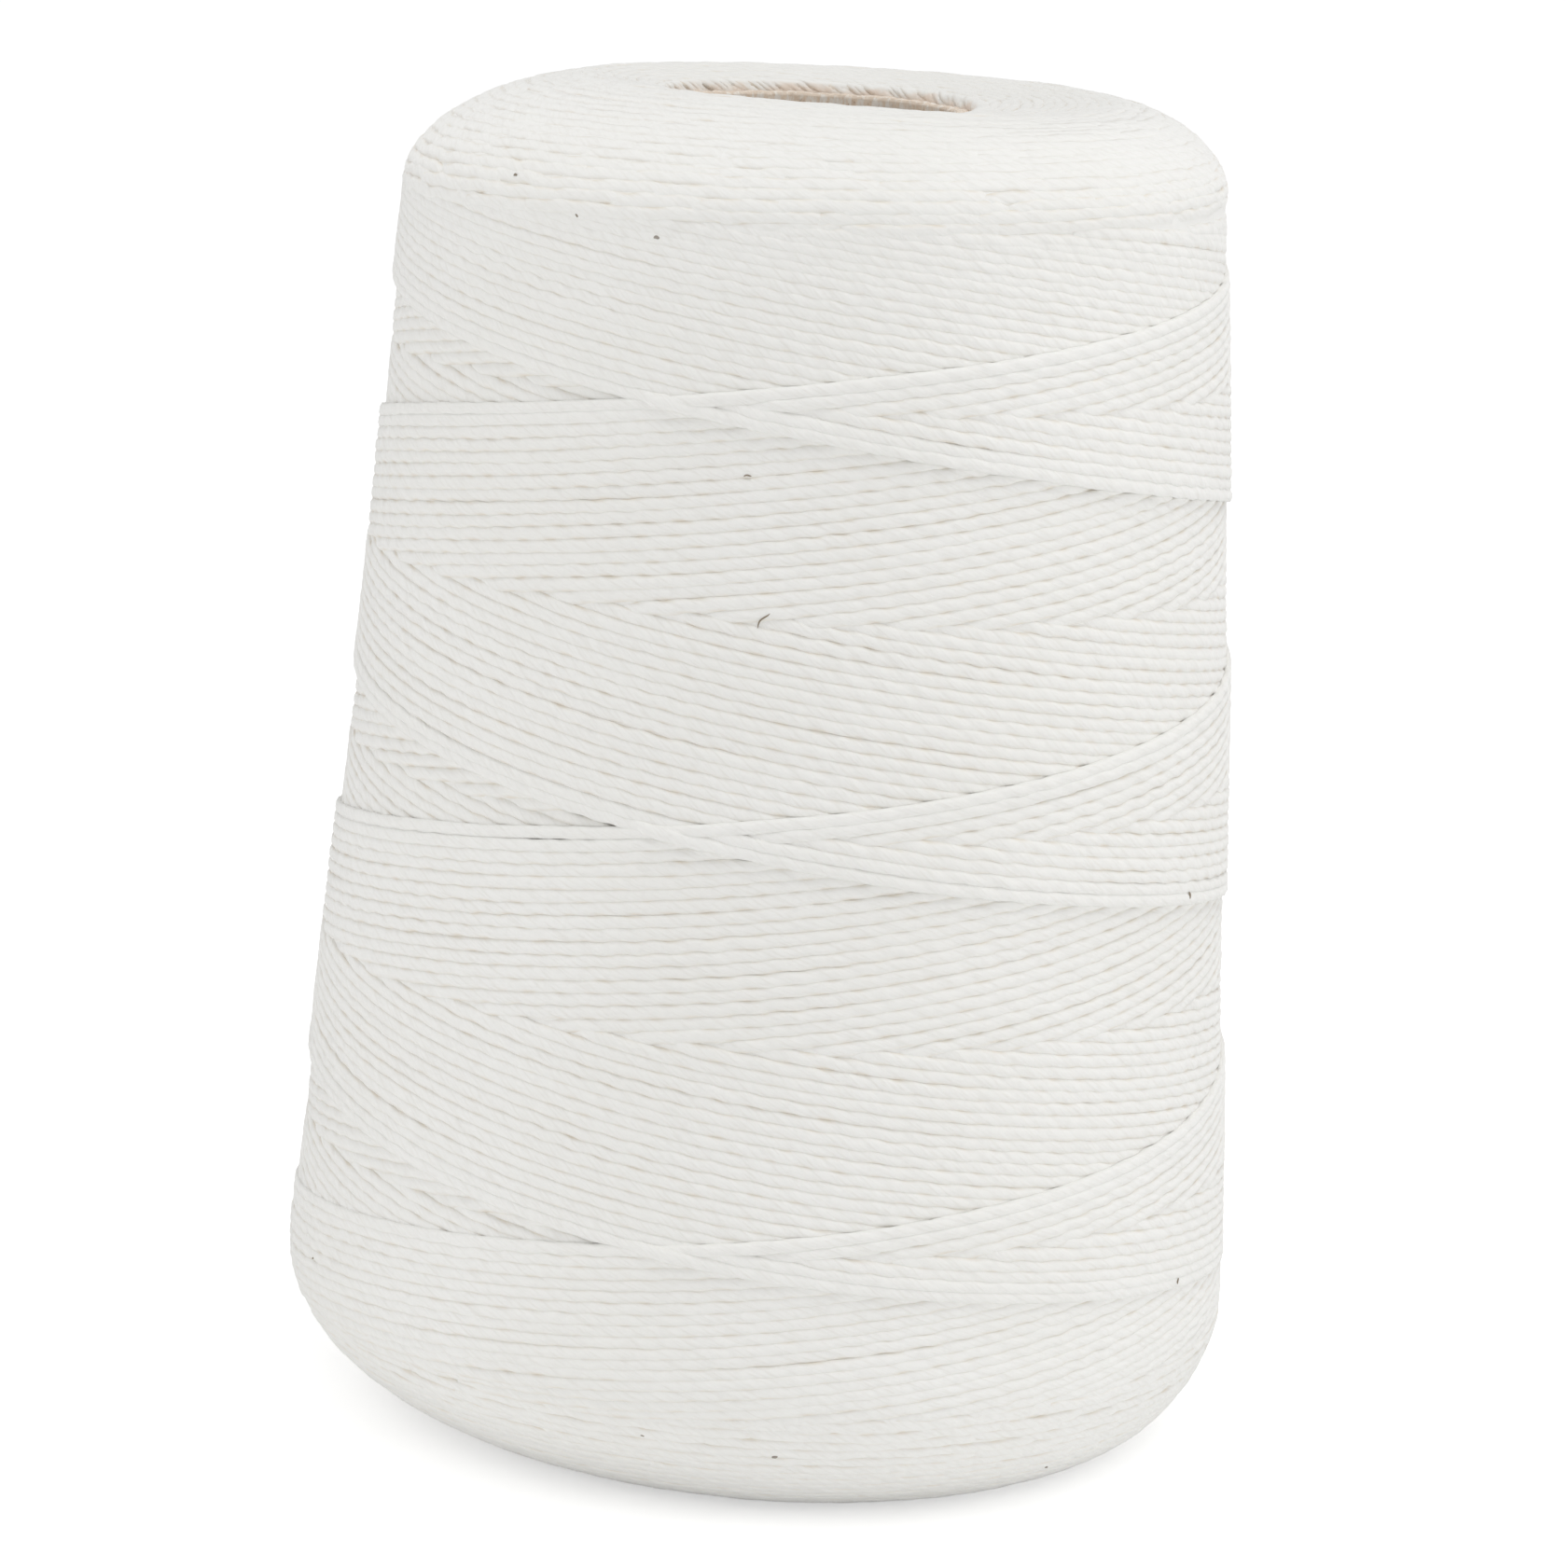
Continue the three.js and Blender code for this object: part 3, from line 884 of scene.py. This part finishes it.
def make_body():
    """A closed body just under the shown strands, so that no gap looks into the roll."""
    turned = np.linspace(0, TURN, BODY_COLUMNS, endpoint=False)
    low = np.linspace(math.acos(SIDE_START / LOW_RISE), math.pi / 2, 14, endpoint=False)
    lows = SIDE_START - LOW_RISE * np.cos(low)
    sides = np.linspace(SIDE_START, HIGH_START, 150, endpoint=False)
    highs = SHOULDER_TOP - HIGH_RISE * (1 - np.sin(np.linspace(0, 1, 18) * BROW_TILT))
    rows = [(bore_radius(BODY_FOOT) + BORE_GAP + 0 * turned, BODY_FOOT + 0 * turned)]
    rows += [body_row(z, turned) for z in np.concatenate([lows, sides, highs])]
    brow = rows[-1][0]
    for share in (0.2, 0.4, 0.6, 0.8, 0.97):
        radius = brow + (RIM_R + RIM_ROUND + 0.1 - brow) * share
        rows.append((radius, top_edge(radius, turned)[0] - RIM_DEPTH))
    rows += rim_rows(turned)
    grid = np.stack([place(turned, r, z) for r, z in rows])
    keep(revolve("twine_body", grid, COTTON_BODY), "wound_twine")


def revolve(name, grid, material):
    """Closes a grid of rows (first index) of points round the axis in both directions."""
    rows, columns = grid.shape[:2]
    i, j = np.meshgrid(np.arange(rows), np.arange(columns), indexing="ij")
    n, m = (i + 1) % rows, (j + 1) % columns
    quads = np.stack([i * columns + j, i * columns + m, n * columns + m, n * columns + j], -1)
    u = np.stack([j, j + 1, j + 1, j], -1) / columns
    v = np.stack([i, i, i + 1, i + 1], -1) / rows
    uv = {"OFBake": np.stack([u, v], -1).reshape(-1, 2)}
    return make_object(name, grid.reshape(-1, 3), quads.reshape(-1, 4), material, uv=uv)


# ---------------------------------------------------------------- the paper core

CORE_COLUMNS = 144
LAP, LAP_SHARE, LAP_AT, LAP_WIDTH = 0.35, 0.15, 1.9, 0.06   # its height is a share of LAP
FRAYS = (3, 0.10), (7, 0.08), (19, 0.07), (37, 0.06), (53, 0.05)   # waves round, and size
MOST_FRAY = 0.25


def make_core():
    """Wound paper: the inner sheet ends in a low step down the wall of the bore."""
    turned = np.linspace(0, TURN, CORE_COLUMNS, endpoint=False)
    outer = [(z, bore_radius(z) - FIT) for z in np.linspace(CORE_LOW + 0.4, CORE_HIGH - 0.45, 40)]
    ragged = sum(
        size * np.sin(times * turned + rng.uniform(0, TURN)) for times, size in FRAYS
    )
    rows = [(radius + 0 * turned, z + 0 * turned) for z, radius in outer]
    top_r = bore_radius(CORE_HIGH) - FIT
    for inwards, below in ((0.15, 0.2), (0.5, 0.0), (1.0, 0.06), (1.5, 0.0), (1.85, 0.2)):
        fray = ragged * (1 - abs(inwards - 1) * 0.5) * 0.8
        fray = fray + 0.06 * np.sin(61 * turned + 9 * inwards)
        rows.append((top_r - inwards + 0 * turned, CORE_HIGH - below + np.minimum(fray, MOST_FRAY)))
    for z, radius in reversed(outer):
        past = np.mod(turned - LAP_AT, TURN)
        lap = LAP * smoothstep(past / LAP_WIDTH) - LAP * past / TURN
        rows.append((radius - CORE_WALL + LAP_SHARE * lap, z + 0 * turned))
    low_r = bore_radius(CORE_LOW) - FIT
    for inwards, above in ((1.8, 0.15), (1.0, 0.0), (0.2, 0.15)):
        rows.append((low_r - inwards + 0 * turned, CORE_LOW + above - 0.2 * ragged.clip(0, 1)))
    grid = np.stack([place(turned, r, z) for r, z in rows])
    keep(revolve("core_tube", grid, KRAFT), "paper_core")


# ---------------------------------------------------------------- specks of husk

def surface_at(azimuth, z):
    """Radius of the crests of the last cover."""
    age_up, age_down = layer_ages(azimuth, z)
    relief = layer_height(z) * (1 - (age_up + age_down) / CYCLES)
    return wound_radius(z, azimuth) + relief + HALF_THICK - LAYER / 2


SPECKS = [   # azimuth in degrees, height, length, half width, slant in degrees
    (-44.5, 154.0, 0.55, 0.16, 20), (-32.5, 150.5, 0.5, 0.15, -30), (-20.5, 149.0, 0.7, 0.20, 10),
    (-6.5, 123.5, 0.9, 0.10, 15), (-3.5, 107.5, 2.1, 0.10, 60), (62.0, 72.5, 0.9, 0.22, -60),
    (60.5, 25.5, 0.7, 0.15, 80), (3.5, 10.5, 0.6, 0.22, 30), (-12.0, 12.0, 0.45, 0.12, 0),
    (-66.5, 20.5, 0.45, 0.12, 40), (42.0, 5.0, 0.45, 0.13, 10),
]
BACK_SPECKS = np.arange(96, 270, 14.5)   # azimuths of more of them, placed at random
SPECK_RINGS, SPECK_R = 7, 53.0


def make_specks():
    """Small closed slivers that lie on the twine, slightly bent."""
    specks = list(SPECKS)
    for azimuth in BACK_SPECKS:
        specks.append((azimuth + rng.uniform(-6, 6), rng.uniform(16, 150),
                       rng.uniform(0.4, 0.9), rng.uniform(0.1, 0.2), rng.uniform(-60, 60)))
    rows = []
    for i, (degrees, z, length, half, slant) in enumerate(specks):
        azimuth = math.radians(degrees)
        along = np.linspace(-0.5, 0.5, SPECK_RINGS) * length
        bend = 0.12 * length * np.sin(np.linspace(0, 4.5, SPECK_RINGS))
        lean = math.radians(slant)
        side = along * math.cos(lean) - bend * math.sin(lean)
        rise = along * math.sin(lean) + bend * math.cos(lean)
        angle = azimuth + side / SPECK_R
        height = z + rise
        radius = surface_at(angle, height)
        taper = half * np.sqrt(np.clip(1 - (along / (0.53 * length)) ** 2, 0.05, 1))
        rows.append((angle, radius, height, along, np.full(SPECK_RINGS, i), taper))
    angle, radius, height, along, strand, taper = (np.concatenate(c) for c in zip(*rows))
    piece = sweep("husk_specks", place(angle, radius, height), outward_from(angle),
                  strand, taper, taper * 0.5, along, HUSK, ply_depth=0.0,
                  section=ROUND_SECTION)
    keep(piece)


make_cover()
make_shoulder("twine_top_shoulder", True, -6, 62)
make_shoulder("twine_base_shoulder", False, 14, 76)
make_end("twine_top_end", True, math.radians(60), RIM_R + 1.5, 39.5, CROSS_AZ + math.pi)
make_end("twine_base_end", False, math.radians(74), bore_radius(0) + 0.6, 44.0,
         CROSS_AZ + math.pi - TURN * 0.5 / CYCLES)
make_rim()
make_body()
make_core()
make_specks()

# ---------------------------------------------------------------- floor, lights, camera

AMBIENT = 0.583         # light of the white surroundings, which the camera sees as full white
FLOOR_HALF, FLOOR_WHITE, FLOOR_GLOW = 6000.0, 0.95, 0.46   # it glows for the camera only
LIGHTS = [   # name, place, aim and size in metres, and power in watts
    ("key", (0.18, -0.20, 1.20), (0, 0, 0.08), (0.55, 0.55), 4.8),
    ("low_fill", (0, -1.05, 0.05), (0, 0, 0.0), (1.2, 0.12), 1.15),
    ("left_fill", (-0.90, -0.15, 0.14), (0, 0, 0.06), (0.6, 0.3), 1.3),
    ("right_fill", (0.90, -0.15, 0.14), (0, 0, 0.06), (0.6, 0.3), 1.2),
]
CAMERA_AWAY, CAMERA_LEVEL = 605.55, 82.0   # distance from this height on the axis
CAMERA_DOWN, CAMERA_ROLL = math.radians(11.74), math.radians(3.214)
CAMERA_AIM = 0.20, 0, 77.64
SENSOR_WIDTH, FOCAL_LENGTH = 36.0, 112.5


def make_floor():
    corners = np.array([[-1, -1, 0], [1, -1, 0], [1, 1, 0], [-1, 1, 0]]) * FLOOR_HALF
    material = bpy.data.materials.new("floor_white")
    material.use_nodes = True
    tree = material.node_tree
    tree.nodes.clear()
    out = tree.nodes.new("ShaderNodeOutputMaterial")
    matt = tree.nodes.new("ShaderNodeBsdfDiffuse")
    matt.inputs["Color"].default_value = (FLOOR_WHITE, FLOOR_WHITE, FLOOR_WHITE, 1)
    glow = tree.nodes.new("ShaderNodeEmission")
    seen = tree.nodes.new("ShaderNodeLightPath").outputs["Is Camera Ray"]
    tree.links.new(math_node(tree, "MULTIPLY", seen, FLOOR_GLOW), glow.inputs["Strength"])
    total = tree.nodes.new("ShaderNodeAddShader")
    tree.links.new(matt.outputs[0], total.inputs[0])
    tree.links.new(glow.outputs[0], total.inputs[1])
    tree.links.new(total.outputs[0], out.inputs[0])
    floor = make_object("floor", corners, np.array([[0, 1, 2, 3]]), material, smooth=False)


def make_world():
    world = bpy.data.worlds.new("studio")
    bpy.context.scene.world = world
    world.use_nodes = True
    tree = world.node_tree
    tree.nodes.clear()
    out = tree.nodes.new("ShaderNodeOutputWorld")
    back = tree.nodes.new("ShaderNodeBackground")
    back.inputs["Color"].default_value = (1, 1, 1, 1)
    path = tree.nodes.new("ShaderNodeLightPath")
    seen = math_node(tree, "MAXIMUM", path.outputs["Is Camera Ray"], path.outputs["Is Glossy Ray"])
    seen = math_node(tree, "MAXIMUM", seen, path.outputs["Is Transmission Ray"])
    level = math_node(tree, "MULTIPLY_ADD", seen, 1 - AMBIENT, AMBIENT)
    tree.links.new(level, back.inputs["Strength"])
    tree.links.new(back.outputs[0], out.inputs[0])


def area_light(name, at, toward, size, watts):
    data = bpy.data.lights.new(name, "AREA")
    data.shape = "RECTANGLE"
    data.size, data.size_y = size
    data.energy = watts
    lamp = bpy.data.objects.new(name, data)
    bpy.context.scene.collection.objects.link(lamp)
    lamp.visible_camera = False
    lamp.location = at
    lamp.rotation_mode = "QUATERNION"
    lamp.rotation_quaternion = (Vector(toward) - Vector(at)).to_track_quat("-Z", "Y")


def make_camera():
    """In front, about 0.6 m away, looking down and rolled a little."""
    away, down = CAMERA_AWAY, CAMERA_DOWN
    at = Vector((0, -away * math.cos(down), CAMERA_LEVEL + away * math.sin(down))) * MM
    look = Vector(CAMERA_AIM) * MM
    forward = (look - at).normalized()
    level = forward.cross(Vector((0, 0, 1))).normalized()
    above = level.cross(forward)
    right = math.cos(CAMERA_ROLL) * level + math.sin(CAMERA_ROLL) * above
    up = -math.sin(CAMERA_ROLL) * level + math.cos(CAMERA_ROLL) * above
    data = bpy.data.cameras.new("camera")
    data.sensor_width = SENSOR_WIDTH
    data.lens = FOCAL_LENGTH
    data.clip_start, data.clip_end = 0.01, 100
    camera = bpy.data.objects.new("camera", data)
    bpy.context.scene.collection.objects.link(camera)
    turn = Matrix((right, up, -forward)).transposed().to_4x4()
    camera.matrix_world = Matrix.Translation(at) @ turn
    bpy.context.scene.camera = camera


make_floor()
make_world()
for light in LIGHTS:
    area_light(*light)
make_camera()
bpy.context.scene.view_settings.view_transform = "Standard"
